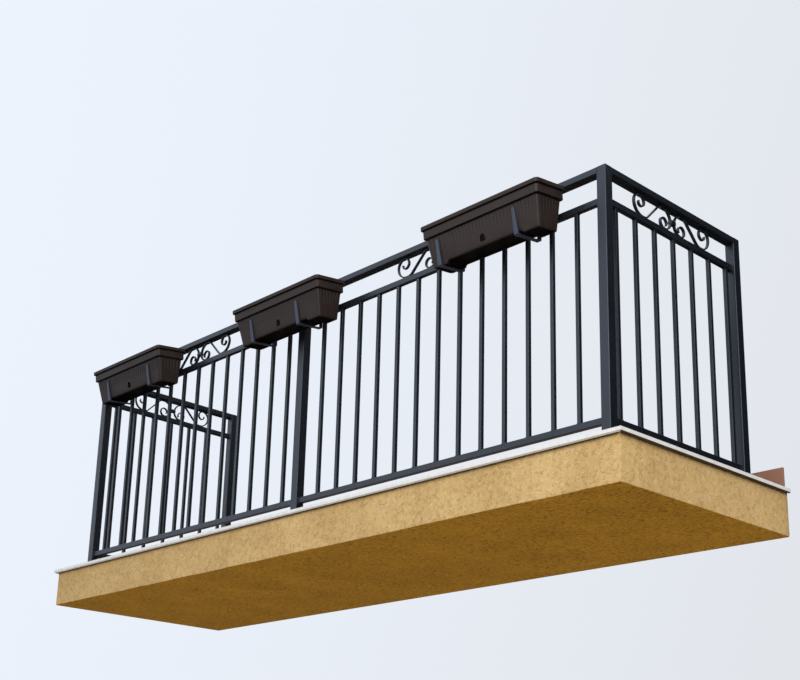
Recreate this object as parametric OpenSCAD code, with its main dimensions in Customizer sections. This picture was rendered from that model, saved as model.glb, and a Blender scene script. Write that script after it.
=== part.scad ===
// Cantilevered balcony with a steel railing, scroll panels and three rail planters.
// Millimetres. The wall plane is y = 0, the balcony reaches out to -Y and +Z is up.
// The origin is the middle of the slab's wall face. Heights in the settings and modules
// are counted from the slab's top edge, and are lifted by top_z where a solid is placed.

/* [Slab] */
// Width of the slab along the wall
slab_w = 3500; // [1500:10:5000]
// Depth of the slab from the wall
slab_d = 1000; // [600:10:1800]
// Height of the rendered edge
slab_t = 165; // [120:5:300]
// Thickness of the render coat
render_t = 14; // [5:1:30]

/* [Deck] */
// Thickness of the mortar bed under the tiles
bed_t = 6; // [4:1:20]
// Thickness of the tiles
tile_t = 9; // [6:1:20]
// Overhang of the edge profile beyond the render
profile_over = 17; // [5:1:40]
// Height of the edge profile's face
profile_h = 13; // [8:1:30]
// Width of the edge profile's leg, bedded on the slab
profile_leg = 60; // [30:1:100]
// Depth of the edge profile's drip lip
lip_h = 3; // [2:1:15]
// Height of the skirting tiles
skirt_h = 84; // [40:1:150]
// Clear width left for the door between the skirting tiles
door_w = 1480; // [700:10:2600]
// Middle of the door opening along the wall
door_x = 447; // [-800:1:800]

/* [Railing] */
// Top of the handrail above the render's top edge
rail_h = 1050; // [900:10:1200]
// Size of the square posts
post = 40; // [30:1:80]
// Distance from the slab's front to the posts
inset_front = 121; // [20:1:300]
// Distance from the slab's right end to the posts
inset_right = 127; // [20:1:300]
// Distance from the slab's left end to the posts
inset_left = 60; // [20:1:300]
// Gap between the wall and the wall posts
wall_gap = 29; // [0:1:100]
// Left face of the middle post
mid_x = -62; // [-500:1:500]
// Height of the handrail section
hand_h = 26; // [15:1:60]
// Height of the upper and lower rails
rail_s = 25; // [15:1:40]
// Depth of the upper and lower rails
rail_d = 20; // [12:1:40]
// Top of the upper rail
upper_z = 933; // [700:1:1000]
// Top of the lower rail
lower_z = 118; // [60:1:200]
// Side of the square balusters
bar = 15; // [10:1:25]
// Balusters in each front bay
bars_front = 13; // [6:1:20]
// Spacing of the balusters in the left front bay
pitch_left = 116; // [80:0.5:150]
// Spacing of the balusters in the right front bay
pitch_right = 115.5; // [80:0.5:150]
// First baluster from the post face, front bays
first_bar = 114; // [50:1:150]
// Gap between the posts and the side panels
panel_gap = 31; // [5:1:60]
// Balusters in each side panel, between its end stiles
bars_side = 5; // [2:1:10]

/* [Scrolls] */
// Thickness of the scroll bar seen from the front
scroll_t = 6; // [4:0.5:12]
// Depth of the scroll bar
scroll_d = 12; // [8:1:20]

/* [Planters] */
// Length of a planter over its rim
planter_l = 590; // [400:1:1000]
// Depth of a planter over its rim
planter_w = 164; // [120:1:250]
// Height of a planter
planter_h = 168; // [120:1:220]
// Height of the middle of a planter's rim
planter_top = 1007; // [900:1:1100]
// Distance from the posts to the middle of a planter's rim
planter_out = 90; // [85:1:150]
// Forward tilt of the planters as they hang
planter_tilt = 7; // [0:0.5:12]
// Inward lean of the body at its foot, each side
planter_lean = 30; // [0:1:50]
// Wall thickness of a planter
planter_wall = 4; // [2:0.5:8]
// Height of a planter's two end feet
foot_h = 11; // [4:1:20]
// Length of the raised underside between the feet
foot_gap = 372; // [200:4:420]
// Width of the overflow hole in a planter's front
hole_w = 24; // [10:1:40]
// Height of the overflow hole
hole_h = 28; // [12:1:50]
// Middle of each planter along the rail
planter_xs = [-1216, -41, 1157];
// Places of the two brackets of each planter along the rail
bracket_xs = [[-1396, -1041], [-220, 91], [936, 1320]];
// Width of the bracket straps
strap_w = 18; // [12:1:50]
// Thickness of the bracket straps
strap_t = 4; // [2:0.5:8]
// Thickness of the bracket's front upright at its foot
clip_t = 9; // [4:1:15]
// Height of the bracket's front upright
clip_h = 100; // [60:1:110]

/* [Hidden] */
$fn = 48;

top_z = slab_t / 2;
deck_z = bed_t + tile_t;
sheet_t = 2;
right_x = slab_w / 2 - inset_right;
left_x = -slab_w / 2 + inset_left;
front_y = -slab_d + inset_front;
back_y = -wall_gap;
bay_left = left_x + post;
bay_right = right_x - post;
mid_r = mid_x + post;
line_y = front_y + post / 2;
line_l = left_x + post / 2;
line_r = right_x - post / 2;
side_a = front_y + post;
side_b = back_y - post;
stile_a = side_a + panel_gap + bar / 2;
stile_b = side_b - panel_gap - bar / 2;
pitch_side = (stile_b - stile_a) / (bars_side + 1);
planter_y = front_y - planter_out;
planter_slope = atan((planter_lean - 15) / (planter_h - 50));
hole_low = 26 - planter_h;

steel = [0.13, 0.15, 0.19];
render_c = [0.80, 0.62, 0.34];
plastic = [0.26, 0.22, 0.20];

module block(x0, y0, z0, x1, y1, z1) {
    translate([x0, y0, z0 + top_z]) cube([x1 - x0, y1 - y0, z1 - z0]);
}

// Slab and its coats

module slab_core() {
    color([0.6, 0.6, 0.58])
    block(-slab_w / 2 + render_t, -slab_d + render_t, -slab_t + render_t, slab_w / 2 - render_t, 0, 0);
}

module render_front() {
    color(render_c)
    block(-slab_w / 2, -slab_d, -slab_t, slab_w / 2, -slab_d + render_t, 0);
}

module render_ends() {
    color(render_c) {
        block(-slab_w / 2, -slab_d + render_t, -slab_t, -slab_w / 2 + render_t, 0, 0);
        block(slab_w / 2 - render_t, -slab_d + render_t, -slab_t, slab_w / 2, 0, 0);
    }
}

module render_soffit() {
    color(render_c)
    block(-slab_w / 2 + render_t, -slab_d + render_t, -slab_t, slab_w / 2 - render_t, 0, -slab_t + render_t);
}

// Deck: bent edge profile with a drip lip, mortar bed, tiles and skirting

// A plate over the deck's three open edges, set in from the profile's face, from z0 to z1
module deck_plate(inset, z0, z1) {
    side = slab_w / 2 + profile_over - inset;
    block(-side, -slab_d - profile_over + inset, z0, side, 0, z1);
}

// The same, reaching past the wall plane, to cut with
module deck_cut(inset, z0, z1) {
    side = slab_w / 2 + profile_over - inset;
    block(-side, -slab_d - profile_over + inset, z0, side, 1, z1);
}

module drip_profile() {
    color([0.93, 0.92, 0.90])
    union() {
        difference() {
            deck_plate(0, 0, profile_h);
            deck_cut(sheet_t, sheet_t, profile_h + 1);
            deck_cut(profile_leg, -1, profile_h + 1);
        }
        difference() {
            deck_plate(6, -lip_h, 1);
            deck_cut(6 + sheet_t, -lip_h - 1, 2);
        }
    }
}

module mortar_bed() {
    color([0.70, 0.68, 0.64])
    union() {
        deck_plate(sheet_t, sheet_t, bed_t);
        deck_plate(profile_leg, 0, bed_t);
    }
}

module deck_tiles() {
    color([0.58, 0.52, 0.46])
    deck_plate(sheet_t + 3, bed_t, deck_z);
}

module skirting() {
    color([0.50, 0.27, 0.20]) {
        block(-slab_w / 2 + 6, -10, deck_z, door_x - door_w / 2, 0, deck_z + skirt_h);
        block(door_x + door_w / 2, -10, deck_z, slab_w / 2 - 6, 0, deck_z + skirt_h);
    }
}

// Posts

module upright(x, y) {
    color(steel)
    difference() {
        block(x, y, deck_z + 8, x + post, y + post, rail_h);
        block(x + 3, y + 3, deck_z + 7, x + post - 3, y + post - 3, rail_h - 3);
    }
}

module post_corner_left() {
    upright(left_x, front_y);
}

module post_corner_right() {
    upright(bay_right, front_y);
}

module post_middle() {
    upright(mid_x, front_y);
}

module post_wall_left() {
    upright(left_x, side_b);
}

module post_wall_right() {
    upright(bay_right, side_b);
}

module base_plate(x, y) {
    margin = 24;
    difference() {
        block(x - margin, y - margin, deck_z, x + post + margin, y + post + margin, deck_z + 8);
        for (dx = [-1, 1]) {
            for (dy = [-1, 1]) {
                translate([x + post / 2 + dx * 33, y + post / 2 + dy * 33, deck_z + top_z - 1])
                cylinder(d = 9, h = 10);
            }
        }
    }
}

module post_bases() {
    color(steel) {
        base_plate(left_x, front_y);
        base_plate(mid_x, front_y);
        base_plate(bay_right, front_y);
        base_plate(left_x, side_b);
        base_plate(bay_right, side_b);
    }
}

// Rails

module rail_x(x0, x1, top, h, d) {
    color(steel)
    difference() {
        block(x0, line_y - d / 2, top - h, x1, line_y + d / 2, top);
        block(x0 - 1, line_y - d / 2 + 2, top - h + 2, x1 + 1, line_y + d / 2 - 2, top - 2);
    }
}

module rail_y(x, top, h, d, y0, y1) {
    color(steel)
    difference() {
        block(x - d / 2, y0, top - h, x + d / 2, y1, top);
        block(x - d / 2 + 2, y0 - 1, top - h + 2, x + d / 2 - 2, y1 + 1, top - 2);
    }
}

module handrail_front_left() {
    rail_x(bay_left, mid_x, rail_h, hand_h, post);
}

module handrail_front_right() {
    rail_x(mid_r, bay_right, rail_h, hand_h, post);
}

module handrail_left() {
    rail_y(line_l, rail_h, hand_h, post, side_a, side_b);
}

module handrail_right() {
    rail_y(line_r, rail_h, hand_h, post, side_a, side_b);
}

// Panels: an upper and a lower rail with the balusters between them, welded into one piece

module baluster(x, y) {
    block(x - bar / 2, y - bar / 2, lower_z - 3, x + bar / 2, y + bar / 2, upper_z - rail_s + 3);
}

module panel_front(x0, x1, pitch) {
    color(steel)
    union() {
        rail_x(x0, x1, upper_z, rail_s, rail_d);
        rail_x(x0, x1, lower_z, rail_s, rail_d);
        for (k = [0 : bars_front - 1]) {
            baluster(x0 + first_bar + k * pitch, line_y);
        }
    }
}

module panel_side(x) {
    color(steel)
    union() {
        rail_y(x, upper_z, rail_s, rail_d, side_a, side_b);
        rail_y(x, lower_z, rail_s, rail_d, side_a, side_b);
        for (k = [0 : bars_side + 1]) {
            baluster(x, stile_a + k * pitch_side);
        }
    }
}

module panel_front_left() {
    panel_front(bay_left, mid_x, pitch_left);
}

module panel_front_right() {
    panel_front(mid_r, bay_right, pitch_right);
}

module panel_left() {
    panel_side(line_l);
}

module panel_right() {
    panel_side(line_r);
}

// Scrollwork: each scroll is a chain of arcs and straights, each one starting where the last ended.
// A piece is [radius, sweep] for an arc to the left, or [0, length] for a straight.

inner_run = [[0, 49.6], [34, 45], [0, 6], [46, 90], [39, 90], [24, 90], [19, 180], [12, 50]];
outer_run = [[0, 42.3], [34, 45], [0, 8], [50, 90], [35, 90], [26, 90], [20, 90], [14, 110]];
scroll_mid = [123, 43];
arc_step = 10;

function arc_at(p, h, r, a) = [
    p[0] + r * (sin(h + a) - sin(h)),
    p[1] + r * (cos(h) - cos(h + a)),
    h + a
];
function line_at(p, h, l) = [p[0] + l * cos(h), p[1] + l * sin(h), h];
function piece_at(p, h, piece, part) =
    piece[0] == 0 ? line_at(p, h, piece[1] * part) : arc_at(p, h, piece[0], piece[1] * part);
function piece_steps(piece) = piece[0] == 0 ? 1 : ceil(piece[1] / arc_step);

// Points of the bar's middle line as [x, y, heading], from the middle of the scroll to its tip
function run_points(p, h, pieces, i = 0) =
    i == len(pieces) ? [] :
    let (n = piece_steps(pieces[i]), last = piece_at(p, h, pieces[i], 1))
    concat([for (k = [1 : n]) piece_at(p, h, pieces[i], k / n)], run_points(last, last[2], pieces, i + 1));

function edge_points(points, side) = [
    for (q = points) [q[0] - side * scroll_t / 2 * sin(q[2]), q[1] + side * scroll_t / 2 * cos(q[2])]
];
function back_from(points) = [for (i = [len(points) - 1 : -1 : 0]) points[i]];

module s_scroll() {
    inner = run_points(scroll_mid, 135, inner_run);
    outer = run_points(scroll_mid, -45, outer_run);
    translate([0, 0, -scroll_d / 2])
    linear_extrude(height = scroll_d)
    polygon(concat(
        edge_points(outer, 1),
        back_from(edge_points(outer, -1)),
        edge_points(inner, 1),
        back_from(edge_points(inner, -1))
    ));
}

// A pair of mirrored scrolls and their collar, lying in the XY plane with Y up from the upper rail
module scroll_pair() {
    color(steel) {
        s_scroll();
        mirror([1, 0, 0]) s_scroll();
        translate([-16, 34, -scroll_d / 2 - 2]) cube([32, 18, scroll_d + 4]);
    }
}

module scrolls_at_x(x) {
    translate([x, line_y, upper_z + top_z])
    rotate([90, 0, 0])
    scroll_pair();
}

module scrolls_at_y(x) {
    translate([x, (stile_a + stile_b) / 2, upper_z + top_z])
    rotate([90, 0, 90])
    scroll_pair();
}

module scrolls_front_left() {
    scrolls_at_x(bay_left + first_bar + 6 * pitch_left);
}

module scrolls_front_right() {
    scrolls_at_x(mid_r + first_bar + 6 * pitch_right);
}

module scrolls_left() {
    scrolls_at_y(line_l);
}

module scrolls_right() {
    scrolls_at_y(line_r);
}

// Planters: a tapered trough with a two-step rim, open at the top. A planter is drawn upright
// under its rim, with z = 0 at the rim's top, and tilted forward as it hangs.

module rounded(l, w, r, z, h) {
    hull()
    for (dx = [-1, 1]) {
        for (dy = [-1, 1]) {
            translate([dx * (l / 2 - r), dy * (w / 2 - r), z]) cylinder(r = r, h = h, $fn = 24);
        }
    }
}

module tapered(l0, w0, r0, z0, l1, w1, r1, z1) {
    hull() {
        for (dx = [-1, 1]) {
            for (dy = [-1, 1]) {
                translate([dx * (l0 / 2 - r0), dy * (w0 / 2 - r0), z0])
                cylinder(r = r0, h = 0.01, $fn = 24);
                translate([dx * (l1 / 2 - r1), dy * (w1 / 2 - r1), z1 - 0.01])
                cylinder(r = r1, h = 0.01, $fn = 24);
            }
        }
    }
}

module planter_body() {
    wall = 2 * planter_wall;
    foot_l = planter_l - 2 * planter_lean;
    foot_w = planter_w - 2 * planter_lean;
    top_l = planter_l - 30;
    top_w = planter_w - 30;
    arch_z = hole_low + hole_h - hole_w / 2;
    difference() {
        union() {
            rounded(planter_l, planter_w, 14, -16, 16);
            rounded(planter_l - 14, planter_w - 14, 12, -51, 36);
            tapered(foot_l, foot_w, 12, -planter_h, top_l, top_w, 12, -50);
        }
        tapered(foot_l - wall, foot_w - wall, 8, foot_h + planter_wall - planter_h,
            top_l - wall, top_w - wall, 8, -40);
        rounded(planter_l - 40, planter_w - 40, 8, -41, 60);
        translate([-foot_gap / 2, -planter_w / 2, -planter_h - 1])
        cube([foot_gap, planter_w, foot_h + 1]);
        translate([0, -planter_w / 4, arch_z])
        rotate([90, 0, 0])
        cylinder(d = hole_w, h = planter_w / 4);
        translate([-hole_w / 2, -planter_w / 2, hole_low])
        cube([hole_w, planter_w / 4, arch_z - hole_low]);
    }
}

module planter(x) {
    color(plastic)
    translate([x, planter_y, planter_top + top_z])
    rotate([planter_tilt, 0, 0])
    planter_body();
}

module planter_left() {
    planter(planter_xs[0]);
}

module planter_middle() {
    planter(planter_xs[1]);
}

module planter_right() {
    planter(planter_xs[2]);
}

// Brackets: a strap hooked over the handrail, down behind the planter, under it and up its front

// A point [y, z] of the upright planter, tilted and placed as it hangs
function hung(p) = [
    planter_y + p[0] * cos(planter_tilt) - p[1] * sin(planter_tilt),
    planter_top + p[0] * sin(planter_tilt) + p[1] * cos(planter_tilt)
];

// Height at which the tilted level that lies drop below the rim reaches the depth y
function level_at(y, drop) =
    let (along = (y - planter_y - drop * sin(planter_tilt)) / cos(planter_tilt))
    hung([along, -drop])[1];

module bracket(x) {
    foot_y = planter_lean - planter_w / 2;
    lip_y = foot_y - clip_h * tan(planter_slope);
    hook_y = front_y + post;
    strap_y = front_y - strap_t;
    color(steel)
    translate([x - strap_w / 2, 0, top_z])
    rotate([90, 0, 90])
    linear_extrude(height = strap_w)
    polygon([
        [hook_y, rail_h - 40],
        [hook_y, rail_h],
        [front_y, rail_h],
        [front_y, level_at(front_y, planter_h + strap_t)],
        hung([foot_y - clip_t, -planter_h - strap_t]),
        hung([lip_y - clip_t / 2, clip_h - planter_h]),
        hung([lip_y, clip_h - planter_h]),
        hung([foot_y, -planter_h]),
        [strap_y, level_at(strap_y, planter_h)],
        [strap_y, rail_h + strap_t],
        [hook_y + strap_t, rail_h + strap_t],
        [hook_y + strap_t, rail_h - 40]
    ]);
}

module brackets(places) {
    for (x = places) {
        bracket(x);
    }
}

module brackets_left() {
    brackets(bracket_xs[0]);
}

module brackets_middle() {
    brackets(bracket_xs[1]);
}

module brackets_right() {
    brackets(bracket_xs[2]);
}

slab_core();
render_front();
render_ends();
render_soffit();
drip_profile();
mortar_bed();
deck_tiles();
skirting();
post_corner_left();
post_corner_right();
post_middle();
post_wall_left();
post_wall_right();
post_bases();
handrail_front_left();
handrail_front_right();
handrail_left();
handrail_right();
panel_front_left();
panel_front_right();
panel_left();
panel_right();
scrolls_front_left();
scrolls_front_right();
scrolls_left();
scrolls_right();
planter_left();
planter_middle();
planter_right();
brackets_left();
brackets_middle();
brackets_right();
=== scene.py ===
"""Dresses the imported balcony: rendered slab, tiled deck, painted steel railing with scrolls, trough planters.

Shapes are worked out in millimetres with numpy, with heights counted from the slab's top edge, as in
the part's source. MILLIMETRE and SLAB_TOP turn them into the frame's metres when a mesh is made.
"""
import math

import bmesh
import bpy
import numpy as np
from mathutils import Matrix


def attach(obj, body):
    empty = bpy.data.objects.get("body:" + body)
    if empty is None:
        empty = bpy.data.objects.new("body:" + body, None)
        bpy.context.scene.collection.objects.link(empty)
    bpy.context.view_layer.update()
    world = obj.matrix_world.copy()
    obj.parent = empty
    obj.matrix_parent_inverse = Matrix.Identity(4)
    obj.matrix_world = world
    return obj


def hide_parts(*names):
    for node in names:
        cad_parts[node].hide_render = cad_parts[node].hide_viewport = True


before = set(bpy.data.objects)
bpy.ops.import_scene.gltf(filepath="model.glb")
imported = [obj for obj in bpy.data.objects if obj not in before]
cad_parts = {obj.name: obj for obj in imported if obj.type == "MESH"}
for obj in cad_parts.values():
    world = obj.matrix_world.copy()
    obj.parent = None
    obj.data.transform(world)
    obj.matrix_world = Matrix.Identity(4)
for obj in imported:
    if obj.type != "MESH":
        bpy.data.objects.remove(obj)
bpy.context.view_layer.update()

MILLIMETRE = 0.001
SLAB_TOP = 82.5

# --- Sizes of the balcony, in millimetres
SLAB_W, SLAB_D, SLAB_T, COAT = 3500.0, 1000.0, 165.0, 14.0
PROFILE_OVER, SHEET = 17.0, 2.0
BED, TILE = 6.0, 9.0
DECK = BED + TILE
TILE_SIZE, DECK_JOINT, SKIRT_JOINT, MOST_TILES = 300.0, 4.0, 3.0, 20
SKIRT_H, SKIRT_T, SKIRT_END, OPENING_W, OPENING_X = 84.0, 10.0, SLAB_W / 2 - 6, 1480.0, 447.0
POST, RAIL_TOP, HANDRAIL_H, PLATE, PLATE_T, BOLT_OUT = 40.0, 1050.0, 26.0, 88.0, 8.0, 33.0
LEFT, RIGHT, FRONT, BACK = -1690.0, 1623.0, -879.0, -29.0
MID = -62.0
LINE_Y, LINE_L, LINE_R = FRONT + POST / 2, LEFT + POST / 2, RIGHT - POST / 2
SIDE_A, SIDE_B = FRONT + POST, BACK - POST
UPPER, LOWER, RAIL_H, RAIL_D, BALUSTER = 933.0, 118.0, 25.0, 20.0, 15.0
FIRST_BAR, BARS_FRONT, PITCH_LEFT, PITCH_RIGHT = 114.0, 13, 116.0, 115.5
PANEL_GAP, BARS_SIDE = 31.0, 5
SCROLL_T, SCROLL_D, COLLAR_W = 6.0, 12.0, 30.0
PLANTER_L, PLANTER_W, PLANTER_H, PLANTER_TOP = 590.0, 164.0, 168.0, 1007.0
PLANTER_LEAN, PLANTER_WALL, FOOT_H, FOOT_GAP = 30.0, 4.0, 11.0, 372.0
# A trough's band ends 50 below the rim, where the wall stands in by 15 and leans on inwards
BAND_H, BAND_IN = 50.0, 15.0
HOLE_R, HOLE_FOOT = 12.0, 26.0 - PLANTER_H
HOLE_SPRING = HOLE_FOOT + 16.0
PLANTER_XS = {"left": -1216.0, "middle": -41.0, "right": 1157.0}
BRACKET_XS = {"left": (-1396.0, -1041.0), "middle": (-220.0, 91.0), "right": (936.0, 1320.0)}
PLANTER_Y, PLANTER_TILT = FRONT - 90.0, math.radians(7.0)
STRAP_T, CLIP_T, CLIP_H = 4.0, 9.0, 100.0

# --- Surfaces as whole arrays. A part is its points (n, 3) and a list of face arrays


def coords(*axes):
    """Points from their coordinates, each one number or an array, as one array (..., 2) or (..., 3)."""
    return np.stack(np.broadcast_arrays(*axes), axis=-1)


def coords_about(axis, along, u, v):
    """Points from a coordinate along an axis and the two that follow it in the order x, y, z, x."""
    return np.roll(coords(along, u, v), axis, axis=-1)


def circle(a, radius=1.0):
    """Points at angles a: radius * (cos a, sin a)."""
    return coords(radius * np.cos(a), radius * np.sin(a))


def unit(vectors):
    return vectors / np.linalg.norm(vectors, axis=-1, keepdims=True)


def distance_along(path):
    """How far along a line each of its points lies."""
    return np.append(0, np.cumsum(np.linalg.norm(np.diff(path, axis=0), axis=1)))


def smooth_step(t):
    """0 below 0, 1 above 1, and t^2 (3 - 2 t) between."""
    t = np.clip(t, 0, 1)
    return t ** 2 * (3 - 2 * t)


def skin(rings, close_rows=False, close_columns=True, caps=True):
    """Joins a grid of points: each quad has corners (i, j), (i, j+1), (i+1, j+1), (i+1, j).

    Rows and columns run round to their start where they are closed, and the first and last
    rows are capped by one flat face each.
    """
    rows, columns = rings.shape[:2]
    index = np.arange(rows * columns).reshape(rows, columns)
    first, last = index[:1, ::-1], index[-1:]
    if close_columns:
        index = np.concatenate([index, index[:, :1]], axis=1)
    if close_rows:
        index = np.concatenate([index, index[:1]], axis=0)
    quads = np.stack([index[:-1, :-1], index[:-1, 1:], index[1:, 1:], index[1:, :-1]], axis=-1)
    faces = [quads.reshape(-1, 4)]
    if caps and not close_rows:
        faces += [first, last]
    return outward((rings.reshape(-1, 3), faces))


def outward(part):
    """Turns every face over when the part's signed volume, the sum of a . (b x c) / 6, is negative."""
    points, faces = part
    volume = 0.0
    for block in faces:
        a = points[block[:, :1]]
        b, c = points[block[:, 1:-1]], points[block[:, 2:]]
        volume += np.sum(a * np.cross(b, c))
    return (points, [block[:, ::-1] for block in faces]) if volume < 0 else part


def joined(parts):
    """One part from several: the points follow each other and each part's faces count on from there."""
    start, points, faces = 0, [], []
    for part_points, part_faces in parts:
        points.append(part_points)
        faces += [block + start for block in part_faces]
        start += len(part_points)
    return np.concatenate(points), faces


def repeated(part, shifts):
    """Copies of a part, one moved by each shift (m, 3)."""
    points, faces = part
    shifts = np.asarray(shifts, float).reshape(-1, 3)
    count = np.arange(len(shifts))[:, None, None] * len(points)
    moved = (points[None] + shifts[:, None]).reshape(-1, 3)
    return moved, [(block[None] + count).reshape(-1, block.shape[1]) for block in faces]


def placed(part, x=0.0, y=0.0, z=0.0, sideways=False):
    """The part moved, and before that turned by a quarter where it goes sideways: (x, y) becomes (-y, x)."""
    points, faces = part
    return (points[:, [1, 0, 2]] * [-1, 1, 1] if sideways else points) + [x, y, z], faces


def round_trip(count):
    """Even angles from 0 up to a full turn, which is left out."""
    return np.linspace(0, 2 * np.pi, count, endpoint=False)


def rounded_section(width, height, radius, steps):
    """Points round rectangles with rounded corners: a corner's centre plus radius * (cos a, sin a)."""
    width, height, radius = (np.asarray(v, float)[..., None] for v in (width, height, radius))
    angle = (np.arange(4)[:, None] * np.pi / 2 + np.linspace(0, np.pi / 2, steps + 1)).ravel()
    side = np.repeat([[1, -1, -1, 1], [1, 1, -1, -1]], steps + 1, axis=1)
    return coords(side[0] * (width / 2 - radius), side[1] * (height / 2 - radius)) + circle(angle, radius)


END_STEPS, LEAST_RADIUS = 3, 0.2


def softened(soft, between=0, steps=END_STEPS):
    """How far the rings of a bar with rounded ends are moved along it, and drawn in.

    A quarter circle at each end: along it goes soft * (1 - cos a), and in by soft * (1 - sin a).
    The rings between the ends stay as they are.
    """
    a = np.linspace(0, np.pi / 2, steps + 1)
    along, inset, still = soft * (1 - np.cos(a)), soft * (1 - np.sin(a)), np.zeros(between)
    return np.concatenate([along, still, -along[::-1]]), np.concatenate([inset, still, inset[::-1]])


def bar(low, high, axis, radius, soft=0.8, steps=4):
    """A straight bar between two corners, with long edges of one radius and softened ends."""
    low, high = (np.roll(np.array(corner, float), -axis) for corner in (low, high))
    moved, inset = softened(soft)
    size, middle = high - low, (low + high) / 2
    section = middle[1:] + rounded_section(size[1] - 2 * inset, size[2] - 2 * inset,
                                           np.maximum(radius - inset, LEAST_RADIUS), steps)
    along = np.repeat([low[0], high[0]], END_STEPS + 1) + moved
    return skin(coords_about(axis, along[:, None], section[..., 0], section[..., 1]))


def bead(width, height, radius, axis, ripples=15):
    """A weld bead round a bar: a circle carried along a rectangle, its radius rippling with the angle.

    The rectangle is (cos a, sin a) divided by the larger of its two sizes, times half the sides.
    """
    a, b = round_trip(48), round_trip(6)
    round_path = circle(a)
    path = round_path / np.abs(round_path).max(axis=1, keepdims=True) * [width / 2, height / 2]
    size = radius * (1 + 0.16 * np.sin(ripples * a))[:, None]
    u, v = (path[:, [k]] + size * np.cos(b) * round_path[:, [k]] for k in (0, 1))
    return skin(coords_about(axis, size * np.sin(b), u, v), close_rows=True)


def sweep(path, side, width, thick, radius, soft=0.8, steps=3):
    """Carries a rounded flat section along a path: its width lies along side, its thickness across both."""
    path, side = np.asarray(path, float), np.asarray(side, float)
    width, thick = np.broadcast_to(width, len(path)), np.broadcast_to(thick, len(path))
    moved, inset = softened(soft, len(path) - 2, steps)
    ring = np.clip(np.arange(-steps, len(path) + steps), 0, len(path) - 1)
    direction = unit(np.gradient(path, axis=0))[ring]
    centre = (path[ring] + moved[:, None] * direction)[:, None]
    section = rounded_section(width[ring] - 2 * inset, thick[ring] - 2 * inset,
                              np.maximum(radius - inset, LEAST_RADIUS), steps)
    return skin(centre + section[..., :1] * side + section[..., 1:] * np.cross(side, direction)[:, None])


def stacked(sections, height):
    """2-D sections (rows, columns, 2) as rings, each row at its own height."""
    return coords(sections[..., 0], sections[..., 1], np.reshape(height, (-1, 1)))


def filleted(corners, radius, steps=6):
    """A line through 2-D corners, each inner one rounded by an arc: start + r (sin a d + (1 - cos a) n)."""
    corners = np.asarray(corners, float)
    leg = unit(np.diff(corners, axis=0))
    before, after = leg[:-1], leg[1:]
    turn = np.arctan2(before[:, 0] * after[:, 1] - before[:, 1] * after[:, 0],
                      np.sum(before * after, axis=1))
    normal = coords(-before[:, 1], before[:, 0]) * np.sign(turn)[:, None]
    start = corners[1:-1] - before * (radius * np.tan(np.abs(turn) / 2))[:, None]
    a = np.abs(turn)[:, None, None] * np.linspace(0, 1, steps + 1)[:, None]
    arcs = start[:, None] + radius * (np.sin(a) * before[:, None] + (1 - np.cos(a)) * normal[:, None])
    return np.concatenate([corners[:1], arcs.reshape(-1, 2), corners[-1:]])


def densified(path, step):
    """The same line with points no further apart than step, spaced evenly by the distance along it."""
    gone = distance_along(path)
    wanted = np.unique(np.append(gone, np.arange(step, gone[-1] - step / 2, step)))
    wanted = wanted[np.append(True, np.diff(wanted) > 0.15)]
    return coords(*(np.interp(wanted, gone, axis) for axis in path.T)), wanted


def edge_path(inset, radius, side_steps, front_steps, corner_steps=5):
    """The slab's three open edges in plan at each inset: left side, corner, front, corner, right side."""
    inset = inset[:, None]
    round_r = np.maximum(radius - inset, 0.05)
    half, deep = SLAB_W / 2 - inset, SLAB_D - inset
    a = np.linspace(np.pi, 1.5 * np.pi, corner_steps)
    left = coords(-half, -(deep - round_r) * np.linspace(0, 1, side_steps))
    turn_l = coords(-half + round_r, -deep + round_r) + circle(a, round_r)
    front = coords((half - round_r) * np.linspace(-1, 1, front_steps)[1:-1], -deep)
    turn_r = turn_l[:, ::-1] * [-1, 1]
    right = left[:, ::-1] * [-1, 1]
    return np.concatenate([left[:, :-1], turn_l, front, turn_r, right[:, 1:]], axis=1)


# --- Making the pieces


def piece(name, part, material, replaced=(), smooth_angle=40.0, weighted=True, merge=0.0):
    """Puts a part into a mesh object by whole arrays, dresses it and lets it ride on the root body.

    Points nearer to each other than merge are made one.
    """
    points, faces = part
    mesh = bpy.data.meshes.new(name)
    widths = np.concatenate([np.full(len(block), block.shape[1]) for block in faces])
    corners = np.concatenate([block.ravel() for block in faces]).astype(np.int32)
    mesh.vertices.add(len(points))
    mesh.vertices.foreach_set("co", ((points + [0, 0, SLAB_TOP]) * MILLIMETRE).astype(np.float32).ravel())
    mesh.loops.add(len(corners))
    mesh.loops.foreach_set("vertex_index", corners)
    mesh.polygons.add(len(widths))
    mesh.polygons.foreach_set("loop_start", np.concatenate([[0], np.cumsum(widths)[:-1]]).astype(np.int32))
    mesh.update(calc_edges=True)
    if merge:
        welded = bmesh.new()
        welded.from_mesh(mesh)
        bmesh.ops.remove_doubles(welded, verts=welded.verts, dist=merge * MILLIMETRE)
        bmesh.ops.dissolve_degenerate(welded, edges=welded.edges, dist=1e-7)
        bmesh.ops.recalc_face_normals(welded, faces=welded.faces)
        welded.to_mesh(mesh)
        welded.free()
    mesh.polygons.foreach_set("use_smooth", np.ones(len(mesh.polygons), bool))
    mesh.set_sharp_from_angle(angle=math.radians(smooth_angle))
    obj = bpy.data.objects.new(name, mesh)
    bpy.context.scene.collection.objects.link(obj)
    mesh.materials.append(material)
    if weighted:
        normals = obj.modifiers.new("even_normals", "WEIGHTED_NORMAL")
        normals.keep_sharp = True
    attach(obj, "root")
    if replaced:
        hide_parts(*replaced)
    return obj


def second_material(obj, material, faces):
    """Gives an object a second material, on the faces for which the array is true."""
    obj.data.materials.append(material)
    obj.data.polygons.foreach_set("material_index", faces.astype(np.int32))


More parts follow.
